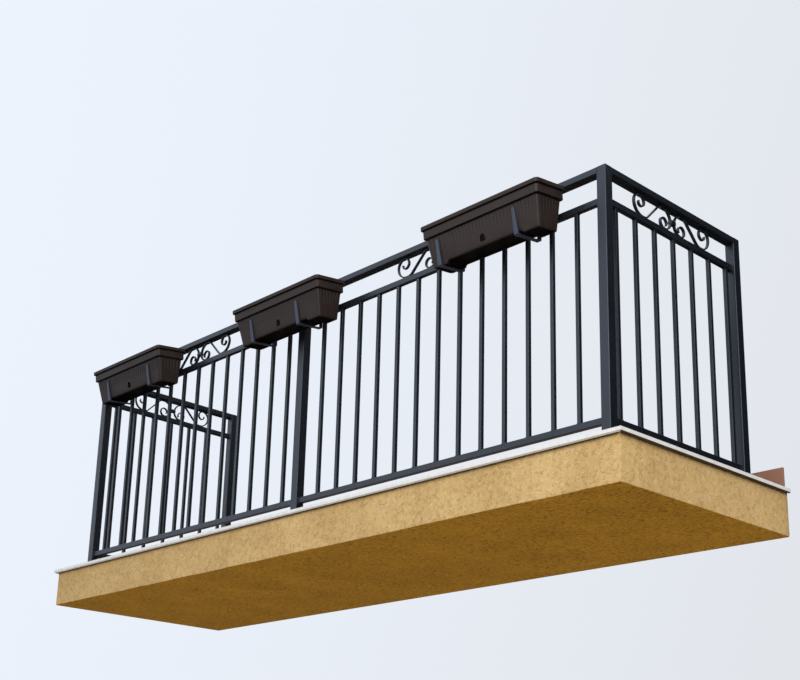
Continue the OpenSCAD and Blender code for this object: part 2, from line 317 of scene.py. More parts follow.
def point_values(obj, name, values):
    """Stores one number for each point of an object, for a material to read."""
    obj.data.attributes.new(name, "FLOAT", "POINT").data.foreach_set("value", values.astype(np.float32))


def values_of(items, name, kind=np.float32):
    """One value of three numbers of all the points, faces or triangles of a mesh, as an array (n, 3)."""
    values = np.zeros(len(items) * 3, kind)
    items.foreach_get(name, values)
    return values.reshape(-1, 3)


# --- Materials


def linear(hex_colour):
    """An sRGB hex colour as linear values: ((c + 0.055) / 1.055) ^ 2.4 above 0.04045, c / 12.92 below."""
    c = np.array([int(hex_colour[i:i + 2], 16) / 255 for i in (1, 3, 5)])
    value = np.where(c > 0.04045, ((c + 0.055) / 1.055) ** 2.4, c / 12.92)
    return (*value.tolist(), 1.0)


def add(kind, inputs=None, tree=None, **settings):
    """Adds a node with its settings; each input gets a value, or a link where it is given a socket.

    It goes into the tree that is given, or into the one that such a socket belongs to.
    """
    inputs = inputs or {}
    tree = tree or next(value.id_data for value in inputs.values() if isinstance(value, bpy.types.NodeSocket))
    made = tree.nodes.new(kind)
    for name, value in settings.items():
        setattr(made, name, value)
    for name, value in inputs.items():
        if isinstance(value, bpy.types.NodeSocket):
            tree.links.new(value, made.inputs[name])
        else:
            made.inputs[name].default_value = value
    return made


def new_material(name, **sockets):
    """A material with one Principled shader, its even values set on its own sockets, and the places on it."""
    material = bpy.data.materials.new(name)
    material.use_nodes = True
    tree = material.node_tree
    tree.nodes.clear()
    shader = add("ShaderNodeBsdfPrincipled", {key.replace("_", " "): v for key, v in sockets.items()}, tree)
    add("ShaderNodeOutputMaterial", {"Surface": shader.outputs["BSDF"]})
    return material, add("ShaderNodeTexCoord", tree=tree).outputs["Object"]


def dressed(material, tone, roughness=None, relief=()):
    """Gives a material its colour, its roughness where that varies, and its relief.

    Each layer of relief is a height of 0 to 1, its depth in mm and its strength, and lies on the one before.
    """
    tree = material.node_tree
    shader = tree.nodes["Principled BSDF"]
    tree.links.new(tone, shader.inputs["Base Color"])
    if roughness:
        tree.links.new(roughness, shader.inputs["Roughness"])
    below = {}
    for height, depth_mm, strength in relief:
        normal = add("ShaderNodeBump", {"Height": height, "Distance": depth_mm * MILLIMETRE,
                                        "Strength": strength, **below}).outputs["Normal"]
        tree.links.new(normal, shader.inputs["Normal"])
        below = {"Normal": normal}
    return material


def noise(place, size_mm, detail=3.0, roughness=0.55, stretch=None, distortion=0.0):
    """Noise with features about size_mm wide, drawn out along an axis where stretch says so."""
    if stretch:
        place = add("ShaderNodeMapping", {"Vector": place, "Scale": stretch}).outputs["Vector"]
    return add("ShaderNodeTexNoise", {"Vector": place, "Scale": 1 / (size_mm * MILLIMETRE), "Detail": detail,
                                      "Roughness": roughness, "Distortion": distortion}).outputs["Fac"]


def ramp(value, low, high, to_low=0.0, to_high=1.0, kind="LINEAR"):
    """Maps low..high to to_low..to_high and holds the ends."""
    return add("ShaderNodeMapRange", {"Value": value, "From Min": low, "From Max": high, "To Min": to_low,
                                      "To Max": to_high}, interpolation_type=kind).outputs["Result"]


def mixed(factor, a, b, kind="MIX"):
    """A colour mix of a and b by factor. Sockets 0, 6 and 7 are the node's factor and its two colours."""
    return add("ShaderNodeMix", {0: factor, 6: a, 7: b}, data_type="RGBA", blend_type=kind).outputs[2]


def two_tone(value, low, high, dark, light):
    """From a dark to a light colour as a value rises from low to high."""
    return mixed(ramp(value, low, high), linear(dark), linear(light))


def stained(tone, value, low, high, most, colour, kind="MIX"):
    """A tone with a colour mixed in, by 0 to most as a value rises from low to high."""
    return mixed(ramp(value, low, high, 0.0, most), tone, linear(colour), kind)


def maths(operation, a, b):
    return add("ShaderNodeMath", {0: a, 1: b}, operation=operation).outputs[0]


def up_part(vector):
    """The upright part of a vector: a place's height, or how far a normal looks up."""
    return add("ShaderNodeSeparateXYZ", {0: vector}).outputs[2]


def looks_up(place):
    return up_part(add("ShaderNodeNewGeometry", tree=place.id_data).outputs["Normal"])


def attribute(place, name):
    return add("ShaderNodeAttribute", tree=place.id_data, attribute_name=name).outputs["Fac"]


def scratches(place, size_mm, break_mm, stretch):
    """Thin curved lines, kept only in patches: 1 where a noise is at its middle value, 0 a little off it."""
    broad = noise(place, size_mm, detail=1.5, stretch=stretch, distortion=0.9)
    off = maths("ABSOLUTE", maths("SUBTRACT", broad, 0.5), 0.0)
    kept = ramp(noise(place, break_mm, detail=2.0), 0.45, 0.56)
    return maths("MULTIPLY", ramp(off, 0.01, 0.075, 1.0, 0.0), kept)


def scratched_render(name, light, dark, scored, stretch, cloudy, scarred, shaded_under_edge=True, specular=0.25):
    """Coloured mineral render, floated so that its grit scores short curved scratches.

    To the eye it is dead matt, evenly coloured with a faint cloudiness, and fine worm-like scratches, thin
    lines where a broad noise passes its middle value, broken up by a second noise. They are drawn 3 mm
    wide instead of 1 to 2, so that they show. Under the metal edge it is darkened by a painted shadow,
    made streaky like drip stains.
    """
    material, place = new_material(name, Roughness=0.93, Specular_IOR_Level=specular)
    elsewhere = add("ShaderNodeVectorMath", {0: place, 1: (3.1, 1.7, 2.3)}).outputs[0]
    dark_lines = scratches(place, 13, 16, stretch)
    tone = two_tone(noise(place, 260, detail=4.0, roughness=0.6), 0.32, 0.68, dark, light)
    tone = stained(tone, noise(place, 38), 0.3, 0.7, cloudy, dark)
    tone = stained(tone, dark_lines, 0.0, 1.0, scarred, dark, "MULTIPLY")
    tone = stained(tone, scratches(elsewhere, 15, 18, stretch), 0.0, 1.0, 0.2, scored)
    tone = stained(tone, noise(place, 7), 0.45, 0.72, 0.35, dark)
    # Painted shadow under the metal edge: darker towards the slab's top edge, made streaky by a stretched
    # noise.
    if shaded_under_edge:
        streaks = noise(place, 26, detail=4.0, stretch=(1.0, 1.0, 0.2))
        near_edge = maths("POWER", ramp(up_part(place), 0.058, SLAB_TOP * MILLIMETRE), 2.0)
        edge_shadow = maths("MULTIPLY", near_edge, ramp(streaks, 0.25, 0.7, 0.35, 0.75))
        tone = mixed(edge_shadow, tone, linear("#6A4D20"))
    return dressed(material, tone, relief=((noise(place, 2.6, detail=2.0), 0.6, 0.7),
                                           (maths("SUBTRACT", 1.0, dark_lines), 1.0, 0.8)))


def painted_steel(name, light, dark, rough):
    """Mild steel section with sprayed satin paint.

    To the eye it is nearly black with a cool cast, satin, with a broad soft sheen and the faint
    orange peel of spray paint (1 mm, drawn 4 mm wide so that it shows), and a little dust on top.
    """
    # The cool specular tint is a painted reflection colour: every reflection in the paint is tinted blue.
    material, place = new_material(name, Specular_IOR_Level=0.9, Specular_Tint=(0.80, 0.88, 1.0, 1.0))
    specks = noise(place, 14, detail=5.0, roughness=0.7)
    tone = two_tone(noise(place, 120, detail=4.0), 0.3, 0.7, dark, light)
    dust = maths("MULTIPLY", ramp(looks_up(place), 0.55, 0.95, 0.0, 0.30), ramp(specks, 0.35, 0.7))
    roughness = ramp(specks, 0.3, 0.75, rough - 0.05, rough + 0.14)
    return dressed(material, mixed(dust, tone, linear("#8F8A80")), roughness,
                   [(noise(place, 4, detail=1.0), 0.12, 0.6)])


def moulded_plastic(name, light, dark, specular=0.42):
    """Polypropylene, injection moulded in a spark-eroded mould.

    To the eye it is a flat dark brown with a low waxy sheen, a fine even grain (0.3 mm, drawn
    1.5 mm wide so that it shows) and a faint chalky bloom of weather where it faces upwards. Painted
    shade, a near black, is mixed in where the point attribute that it reads is high.
    """
    material, place = new_material(name, Specular_IOR_Level=specular)
    patches = noise(place, 90, detail=4.0, roughness=0.6)
    tone = two_tone(patches, 0.3, 0.7, dark, light)
    tone = stained(tone, looks_up(place), 0.3, 1.0, 0.16, "#7C736A")
    # Painted shade: near black, mixed in where the per-point attribute marks grooves and recesses.
    tone = stained(tone, attribute(place, "recess_shade"), 0.0, 1.0, 0.72, "#0C0908")
    return dressed(material, tone, ramp(patches, 0.3, 0.7, 0.48, 0.6),
                   [(noise(place, 1.5, detail=1.0), 0.10, 0.6)])


def coated_sheet(name, sheet_shade):
    """Aluminium sheet, folded and coated white.

    To the eye it is a clean white line with a soft sheen, greyed a little by rain streaks and turning a
    darker cream towards its lower edge. The shade amount, from 0 to 1, mixes in a dark brown: painted
    shade behind and under that edge.
    """
    material, place = new_material(name, Specular_IOR_Level=0.5)
    streaks = noise(place, 30, detail=4.0, stretch=(1.0, 1.0, 0.3))
    tone = stained(linear("#E0DEDC"), streaks, 0.42, 0.75, 0.5, "#C4BDB4")
    # Towards the sheet's lower edge it turns a darker cream.
    tone = mixed(ramp(up_part(place), 0.0795, 0.0850, 0.35, 0.0), tone, linear("#B9A184"))
    # Painted shade: the amount passed in mixes in a dark brown.
    return dressed(material, mixed(sheet_shade, tone, linear("#3A2A10")), ramp(streaks, 0.3, 0.7, 0.34, 0.5),
                   [(noise(place, 3, detail=1.0), 0.05, 0.5)])


def stoneware(name, light, dark, rough):
    """Pressed and fired stoneware tile.

    To the eye it is a matt clay colour, clouded and finely speckled. The attribute named tile numbers the
    tiles, and moves the clouds and changes the depth of the colour from one to the next.
    """
    material, place = new_material(name, Specular_IOR_Level=0.5)
    batch = add("ShaderNodeTexWhiteNoise", {"W": attribute(place, "tile")}, noise_dimensions="1D").outputs
    away = add("ShaderNodeVectorMath", {0: batch["Color"], "Scale": 9.0}, operation="SCALE").outputs[0]
    own_place = add("ShaderNodeVectorMath", {0: place, 1: away}).outputs[0]
    clouds = noise(own_place, 110, detail=5.0, roughness=0.65)
    specks = noise(own_place, 3.5, detail=2.0)
    tone = two_tone(clouds, 0.25, 0.75, dark, light)
    tone = stained(tone, batch["Value"], 0.0, 1.0, 0.28, dark)
    tone = stained(tone, specks, 0.58, 0.72, 0.35, "#5D4638")
    return dressed(material, tone, ramp(clouds, 0.3, 0.7, rough - 0.07, rough + 0.07), [(specks, 0.15, 0.6)])


def cement(name, light, dark, grain_mm):
    """Cement-bound grout, mortar or cast concrete.

    To the eye it is dull grey and open-pored, with sandy grain and damp clouds.
    """
    material, place = new_material(name, Roughness=0.92, Specular_IOR_Level=0.3)
    sand = noise(place, grain_mm, detail=4.0, roughness=0.7)
    pores = ramp(noise(place, grain_mm * 4, detail=2.0), 0.62, 0.70)
    tone = two_tone(noise(place, 140, detail=5.0, roughness=0.65), 0.3, 0.7, dark, light)
    return dressed(material, stained(tone, sand, 0.3, 0.7, 0.3, dark),
                   relief=((sand, 0.5, 0.7), (maths("SUBTRACT", 1.0, pores), 1.0, 0.8)))


FASCIA = scratched_render("mineral_render_scratched", "#D0AF77", "#BA9861", "#F4E2BE",
                          stretch=(0.82, 0.82, 0.95), cloudy=0.22, scarred=0.46)
# Painted shade: the soffit has the fascia's render, coloured here darker and more saturated, as it looks in
# shade with warm bounce light.
SHADED_SOFFIT = scratched_render("mineral_render_soffit_shaded", "#AC7A1E", "#936815", "#CCA040", stretch=(0.75, 1.0, 1.0),
                          cloudy=0.55, scarred=0.86, shaded_under_edge=False, specular=0.08)
STEEL = painted_steel("painted_mild_steel", "#12171F", "#0C1016", rough=0.36)
STRAP_STEEL = painted_steel("painted_strip_steel", "#31374A", "#252B3A", rough=0.42)
PLASTIC = moulded_plastic("moulded_polypropylene_brown", "#2F231E", "#271B17")
# Painted shade: a near-black copy of the plastic for the faces inside the trough, under it and round its
# overflow hole.
SHADED_LINING = moulded_plastic("polypropylene_painted_shade", "#0D0A08", "#080605", specular=0.08)
WHITE_SHEET = coated_sheet("coated_aluminium_sheet", sheet_shade=0.0)
# Painted shade: a copy of the white sheet, dark brown on the undersides and drip lip where shade falls.
SHADED_SHEET = coated_sheet("coated_aluminium_shaded", sheet_shade=0.95)
DECK_TILE = stoneware("stoneware_deck_tile", "#A98C72", "#8E705A", rough=0.5)
SKIRT_TILE = stoneware("stoneware_skirting_tile", "#A67C65", "#8B614D", rough=0.42)
GROUT = cement("cement_grout", "#A9A398", "#8C867C", grain_mm=1.5)
MORTAR = cement("cement_mortar_bed", "#A39D92", "#857F75", grain_mm=2.5)
CONCRETE = cement("cast_concrete", "#ABA79E", "#908B82", grain_mm=3.0)

# --- Slab: one render coat round three edges and the soffit, over the cast core


def render_coat():
    """The coat's outer face: a profile carried round the slab's open edges.

    The profile goes down the edge, round a soft arris, and on under the slab, where each row is
    the one before drawn towards the middle of the back edge, down to one point there. Both faces
    are uneven by sums of sines, up to 0.75 mm in the edge and 1.6 mm in the underside, whose rise
    is reached by a smooth step over 60 mm from the open edges and 250 mm from the back edge.
    """
    arris, corner_radius, under_rows = 5.0, 6.0, 29
    drop = np.linspace(0, SLAB_T - arris, 12)
    a = np.linspace(0, np.pi / 2, 6)[1:]
    inset = np.concatenate([0 * drop, arris * (1 - np.cos(a))])
    height = np.concatenate([-drop, -SLAB_T + arris * (1 - np.sin(a))])
    plan = edge_path(inset, corner_radius, side_steps=26, front_steps=90)
    shrink = np.linspace(1, 0, under_rows + 1)[1:, None, None]
    grid = np.concatenate([stacked(plan, height), stacked(plan[-1] * shrink, -SLAB_T)])
    x, y, z = np.moveaxis(grid, -1, 0)
    wave = 0.45 * np.sin(x / 167 + 1.1) * np.sin(z / 71 + x / 900) + 0.3 * np.sin(x / 61 + z / 47)
    grid[..., 1] += np.where(y < -SLAB_D + 1, wave, 0) * np.clip(-z / 30, 0, 1)
    rise = 0.8 + 0.5 * np.sin(x / 190) * np.sin(y / 130 + 0.7) + 0.3 * np.sin(x / 77 + y / 93)
    edge = np.clip([(SLAB_W / 2 - np.abs(x)) / 60, (SLAB_D + y) / 60, -y / 250], 0, 1).prod(axis=0)
    grid[..., 2] += np.where(z < -SLAB_T + 0.1, rise * smooth_step(edge), 0)
    return grid


coat = piece("render_coat", skin(render_coat(), close_columns=False, caps=False), FASCIA,
             ("render_front", "render_ends", "render_soffit"), smooth_angle=50, merge=0.02)
upward = values_of(coat.data.polygons, "normal")[:, 2]
under_side = np.abs(upward) > 0.7
# The underside takes the darker, more saturated copy of the render, which is painted shade.
second_material(coat, SHADED_SOFFIT, under_side)
# An open surface has no volume to tell its outside by, so its underside is made to look down
if upward[under_side].mean() > 0:
    coat.data.flip_normals()
thickness = coat.modifiers.new("coat_thickness", "SOLIDIFY")
thickness.thickness = COAT * MILLIMETRE
thickness.offset = -1.0
coat.modifiers.move(len(coat.modifiers) - 1, 0)

# --- Deck: folded edge profile, mortar, tiles and skirting
PROFILE_SECTION = np.array([
    (60.0, 0.0), (8.0, 0.0), (8.0, -2.6), (7.6, -3.0), (6.4, -3.0), (6.0, -2.6), (6.0, 0.0), (0.9, 0.0),
    (0.3, 0.3), (0.0, 0.9), (0.0, 12.3), (0.4, 12.9), (1.0, 13.0), (1.6, 12.9), (2.0, 12.3), (2.0, 2.6),
    (2.6, 2.0), (60.0, 2.0),
])


def edge_profile():
    """The folded sheet: its section (inset, height) carried round the three edges, mitred at the corners."""
    inset, height = PROFILE_SECTION[:, 0] - PROFILE_OVER, PROFILE_SECTION[:, 1]
    side, ahead = np.array([[-1, -1, 1, 1], [0, -1, -1, 0]])[:, :, None]
    return skin(coords(side * (SLAB_W / 2 - inset), ahead * (SLAB_D - inset), height))


def tile_fields(start, end, first_joint, joint, sliver=25.0):
    """Where tiles begin and end between two limits: full tiles, with a joint on first_joint.

    A joint that would leave a sliver at a limit is left out.
    """
    joints = first_joint + (TILE_SIZE + joint) * np.arange(-MOST_TILES, MOST_TILES)
    joints = joints[(joints > start + sliver) & (joints < end - sliver)]
    return np.append(start, joints + joint / 2), np.append(joints - joint / 2, end)


def deck_edge(gap):
    """How far the deck reaches to the sides and to the front, a gap short of the folded sheet's upstand."""
    over = PROFILE_OVER - SHEET - gap
    return SLAB_W / 2 + over, -SLAB_D - over


def deck_tiling():
    """Tiles laid on a grid from the front edge, each a slab with softened edges and corners."""
    reach, front = deck_edge(3.0)
    x0, x1 = tile_fields(-reach, reach, 63.0, DECK_JOINT)
    y0, y1 = tile_fields(front, 0.0, front + TILE_SIZE + DECK_JOINT / 2, DECK_JOINT)
    return joined([bar((a, c, BED), (b, d, DECK), 2, 1.2, soft=1.0, steps=2)
                   for a, b in zip(x0, x1) for c, d in zip(y0, y1)])


def numbered(tiles, steps):
    """Numbers the tiles of one object, whose points follow each other tile by tile.

    Each is a bar: rings at both ends, with steps + 1 points at each of the four corners.
    """
    points_each = 2 * (END_STEPS + 1) * 4 * (steps + 1)
    point_values(tiles, "tile", np.arange(len(tiles.data.vertices)) // points_each)


def grout_bed():
    """The grout between the tiles, as one slab that stops short of their top and of the back edge."""
    reach, front = deck_edge(4.0)
    return bar((-reach, front, BED), (reach, -0.2, DECK - 1.6), 2, 1.0, soft=0.5, steps=2)


def skirting_tiles():
    """Upright cut tiles along the back edge, on both sides of its opening, with open joints."""
    parts = []
    for start, end in ((-SKIRT_END, OPENING_X - OPENING_W / 2), (OPENING_X + OPENING_W / 2, SKIRT_END)):
        x0, x1 = tile_fields(start, end, start + TILE_SIZE + SKIRT_JOINT / 2, SKIRT_JOINT)
        parts += [bar((a, -SKIRT_T, DECK), (b, 0, DECK + SKIRT_H), 2, 1.5, soft=1.5, steps=3)
                  for a, b in zip(x0, x1)]
    return joined(parts)


sheet = piece("edge_profile_sheet", edge_profile(), WHITE_SHEET, ("drip_profile",),
              smooth_angle=35)
# Faces run round the section on each of the three edges. Painted shade darkens the front only behind its
# drip lip, on the section's first two sides, and the other edges on their first seven sides, the lip and
# the whole underside
shaded_sides = np.arange(len(PROFILE_SECTION)) < np.array([[7], [2], [7]])
second_material(sheet, SHADED_SHEET, np.append(shaded_sides, [False, False]))
numbered(piece("deck_tiling", deck_tiling(), DECK_TILE, ("deck_tiles",)), steps=2)
piece("deck_grout", grout_bed(), GROUT)
numbered(piece("skirting_tiles", skirting_tiles(), SKIRT_TILE, ("skirting",)), steps=3)

# --- Railing
POSTS = {
    "post_corner_left": (LEFT, FRONT), "post_corner_right": (RIGHT - POST, FRONT),
    "post_middle": (MID, FRONT), "post_wall_left": (LEFT, SIDE_B), "post_wall_right": (RIGHT - POST, SIDE_B),
}


def post(x, y):
    """A square tube with its closing plate at the top and a weld round its foot."""
    foot = DECK + PLATE_T
    tube = bar((x, y, foot), (x + POST, y + POST, RAIL_TOP), 2, 3.0, soft=1.4)
    weld = repeated(bead(POST, POST, 3.2, 2, ripples=31), [(x + POST / 2, y + POST / 2, foot + 0.6)])
    return joined([tube, weld])


def anchor_bolt():
    """A hexagon head on a washer, each a stack of rings with a radius for each angle.

    The head's radius at angle a is half its width over flats, divided by the cosine of the angle
    from the nearest flat's middle, and is cut by a cone at the top for the chamfer.
    """
    a = round_trip(48)
    hexagon = 6.5 / np.cos(np.mod(a, np.pi / 3) - np.pi / 6)
    head = np.minimum(hexagon, np.array([[6.6], [9.0], [9.0], [7.1], [6.1]]))
    washer = np.array([[8.2], [8.5], [8.5], [8.0]])
    return joined([skin(stacked(circle(a, head), [1.6, 2.0, 5.6, 6.3, 6.9])),
                   skin(stacked(circle(a, washer), [0.0, 0.2, 1.3, 1.6]))])


def base_plates():
    """A plate under each post with softened edges, held by four bolts."""
    centre = np.array([(x + POST / 2, y + POST / 2, 0) for x, y in POSTS.values()])
    half, top = PLATE / 2, DECK + PLATE_T
    plates = repeated(bar((-half, -half, DECK), (half, half, top), 2, 4.0, soft=1.2), centre)
    offset = BOLT_OUT * np.array([(-1, -1, 0), (1, -1, 0), (1, 1, 0), (-1, 1, 0)])
    bolts = repeated(anchor_bolt(), centre[:, None] + offset + [0, 0, top])
    return joined([plates, bolts])


def panel(x0, x1, bars):
    """A panel along X at y = 0: two tubes, bars let in between them, and the welds round every joint."""
    half, thick = RAIL_D / 2, BALUSTER / 2
    rails = [bar((x0, -half, top - RAIL_H), (x1, half, top), 0, 2.0, soft=0.3) for top in (UPPER, LOWER)]
    low, high = LOWER, UPPER - RAIL_H
    shift = coords(bars, 0, 0)
    baluster = bar((-thick, -thick, low - 1), (thick, thick, high + 1), 2, 1.3, soft=0.3)
    welds = [repeated(bead(BALUSTER, BALUSTER, 1.9, 2), shift + [0, 0, z]) for z in (low + 0.4, high - 0.4)]
    ends = repeated(bead(RAIL_D, RAIL_H, 2.2, 0, ripples=21),
                    [(x, 0, top - RAIL_H / 2) for x in (x0 + 0.6, x1 - 0.6) for top in (UPPER, LOWER)])
    return joined(rails + [repeated(baluster, shift)] + welds + [ends])


def run_line(pieces, start, heading, arc_step=6.0):
    """A line of arcs and straights, each leaving in the direction in which the last one ended.

    A piece is (radius, sweep in degrees) or (0, length). An arc is cut into short chords of
    2 r sin(step / 2), each drawn at the heading of its middle, and all are summed in one go.
    """
    length, turn = [], []
    for radius, amount in pieces:
        count = 6 if radius == 0 else math.ceil(amount / arc_step)
        chord = amount / count if radius == 0 else 2 * radius * math.sin(math.radians(amount / count / 2))
        length += [chord] * count
        turn += [0.0 if radius == 0 else amount / count] * count
    length, turn = np.array(length), np.array(turn)
    middle = np.radians(heading + np.cumsum(turn) - turn / 2)
    steps = circle(middle, length)
    return np.concatenate([[start], np.asarray(start) + np.cumsum(steps, axis=0)])


INNER_RUN = ((0, 49.6), (34, 45), (0, 6), (46, 90), (39, 90), (24, 90), (19, 180), (12, 50))
OUTER_RUN = ((0, 42.3), (34, 45), (0, 8), (50, 90), (35, 90), (26, 90), (20, 90), (14, 110))
SCROLL_MIDDLE = (123.0, 43.0)


def collar():
    """A wrapped band: a rounded rectangle whose sides swell by 1.2 sin(pi t) between its two edges."""
    t = np.linspace(0, 1, 13)[1:-1]
    low, high, arris = 34.0, 52.0, 0.4
    edge_draw = np.array([1.0, 0.3, 0.0])
    height = np.concatenate([[low, low, low + arris], low + arris + (high - low - 2 * arris) * t,
                             [high - arris, high, high]])
    draw = np.concatenate([edge_draw, -1.2 * np.sin(np.pi * t), edge_draw[::-1]])
    section = rounded_section(COLLAR_W - 2 * draw, SCROLL_D + 3 - 2 * draw, 2.5 - np.maximum(draw, 0), 4)
    return skin(stacked(section, height))


def scroll_pair():
    """Two mirrored S scrolls of flat bar and the collar that ties them, at y = 0 on the upper tube's top.

    Each S is one line from tip to tip. The bar thins towards both tips by a third over 60 mm.
    """
    inner, outer = run_line(INNER_RUN, SCROLL_MIDDLE, 135), run_line(OUTER_RUN, SCROLL_MIDDLE, -45)
    line = np.concatenate([outer[::-1], inner[1:]])
    path = coords(line[:, 0], 0, line[:, 1])
    gone = distance_along(path)
    to_tip = np.minimum(gone, gone[-1] - gone)
    thick = SCROLL_T * (0.68 + 0.32 * np.clip(to_tip / 60, 0, 1))
    points, faces = scroll = sweep(path, (0, 1, 0), SCROLL_D, thick, 1.5, soft=1.4)
    twin = outward((points * [-1, 1, 1], faces))
    # Short welds where the scrolls touch the tube below
    welds = repeated(bead(5.0, SCROLL_D * 0.7, 1.6, 2, ripples=7),
                     [(x, 0, 0.4) for x in (-160, -70, 70, 160)])
    return joined([scroll, twin, collar(), welds])


def handrail(low, high, axis):
    """A flat tube between two corners in plan, its top at the rail's height."""
    return bar((*low, RAIL_TOP - HANDRAIL_H), (*high, RAIL_TOP), axis, 3.0, soft=0.3)


def railing(ending, parts):
    """Steel pieces, each in the place of the node whose name it goes by."""
    for name, part in parts.items():
        piece(f"{name}_{ending}", part, STEEL, (name,))


bay_left, bay_right, mid_right = LEFT + POST, RIGHT - POST, MID + POST
left_bars = bay_left + FIRST_BAR + PITCH_LEFT * np.arange(BARS_FRONT)
right_bars = mid_right + FIRST_BAR + PITCH_RIGHT * np.arange(BARS_FRONT)
stile_a, stile_b = SIDE_A + PANEL_GAP + BALUSTER / 2, SIDE_B - PANEL_GAP - BALUSTER / 2
side_bars = np.linspace(stile_a, stile_b, BARS_SIDE + 2)
side_middle = (stile_a + stile_b) / 2
side_panel, pair = panel(SIDE_A, SIDE_B, side_bars), scroll_pair()

railing("tube", {name: post(x, y) for name, (x, y) in POSTS.items()})
piece("post_base_plates", base_plates(), STEEL, ("post_bases",))
railing("tube", {
    "handrail_front_left": handrail((bay_left, FRONT), (MID, FRONT + POST), 0),
    "handrail_front_right": handrail((mid_right, FRONT), (bay_right, FRONT + POST), 0),
    "handrail_left": handrail((LEFT, SIDE_A), (LEFT + POST, SIDE_B), 1),
    "handrail_right": handrail((bay_right, SIDE_A), (RIGHT, SIDE_B), 1),
})
railing("bars", {
    "panel_front_left": placed(panel(bay_left, MID, left_bars), y=LINE_Y),
    "panel_front_right": placed(panel(mid_right, bay_right, right_bars), y=LINE_Y),
    "panel_left": placed(side_panel, x=LINE_L, sideways=True),
    "panel_right": placed(side_panel, x=LINE_R, sideways=True),
})
middle_bar = BARS_FRONT // 2
railing("flat_bar", {
    "scrolls_front_left": placed(pair, left_bars[middle_bar], LINE_Y, UPPER),
    "scrolls_front_right": placed(pair, right_bars[middle_bar], LINE_Y, UPPER),
    "scrolls_left": placed(pair, LINE_L, side_middle, UPPER, sideways=True),
    "scrolls_right": placed(pair, LINE_R, side_middle, UPPER, sideways=True),
})

# --- Planters and their brackets
# Flutes about 17 mm apart, along a long and a short side, and where the points of one lie
LONG_FLUTES, SHORT_FLUTES = 31, 6
FLUTE_POINTS = np.array([0.0, 0.05, 0.1, 0.15, 0.21, 0.34, 0.5, 0.66, 0.79, 0.85, 0.9, 0.95])
# How deep the grooves are at each height below the rim
GROOVE_DEPTH = np.array([(-122, 0), (-116, 0.25), (-109, 0.9), (-101, 1.6), (-92, 2.1), (-75, 2.3),
                         (-62, 2.3), (-57.5, 2), (-55.6, 1.2), (-54.8, 0)]).T


def groove(t):
    """How deep the groove is at t, counted in ribs: a narrow bell exp(-(d / 0.12)^2) round each whole
    number, over a faint wave."""
    from_groove = np.abs(t - np.round(t))
    return 0.88 * np.exp(-(from_groove / 0.12) ** 2) + 0.12 * (0.5 + 0.5 * np.cos(2 * np.pi * t))


def perimeter():
    """One lap round a trough: where each point lies between the corner centres, its outward direction
    and how many flutes lie before it on its side. The lap starts at the front's left end."""
    arc = np.linspace(0, np.pi / 2, 6)[1:-1]
    lap = []
    for quarter, flutes in enumerate((LONG_FLUTES, SHORT_FLUTES) * 2):
        t = np.append((np.arange(flutes)[:, None] + FLUTE_POINTS).ravel(), flutes)
        run = 2 * t / flutes - 1
        facing = -np.pi / 2 + quarter * np.pi / 2
        ahead = np.array([-np.sin(facing), np.cos(facing)])
        out = np.array([np.cos(facing), np.sin(facing)])
        side = run[:, None] * ahead + out
        lap.append(np.column_stack([side, np.broadcast_to(out, side.shape), t]))
        corner = np.broadcast_to(ahead + out, (len(arc), 2))
        lap.append(np.column_stack([corner, np.cos(facing + arc), np.sin(facing + arc), 0 * arc + 0.5]))
    return np.concatenate(lap)


def wall_inset(z):
    """How far the tapered wall stands in from the rim at a height below it."""
    return BAND_IN + (PLANTER_LEAN - BAND_IN) * (-BAND_H - z) / (PLANTER_H - BAND_H)


def half_size(inset):
    """Half the length and half the width of a trough at an inset from its rim's outline."""
    return PLANTER_L / 2 - inset, PLANTER_W / 2 - inset


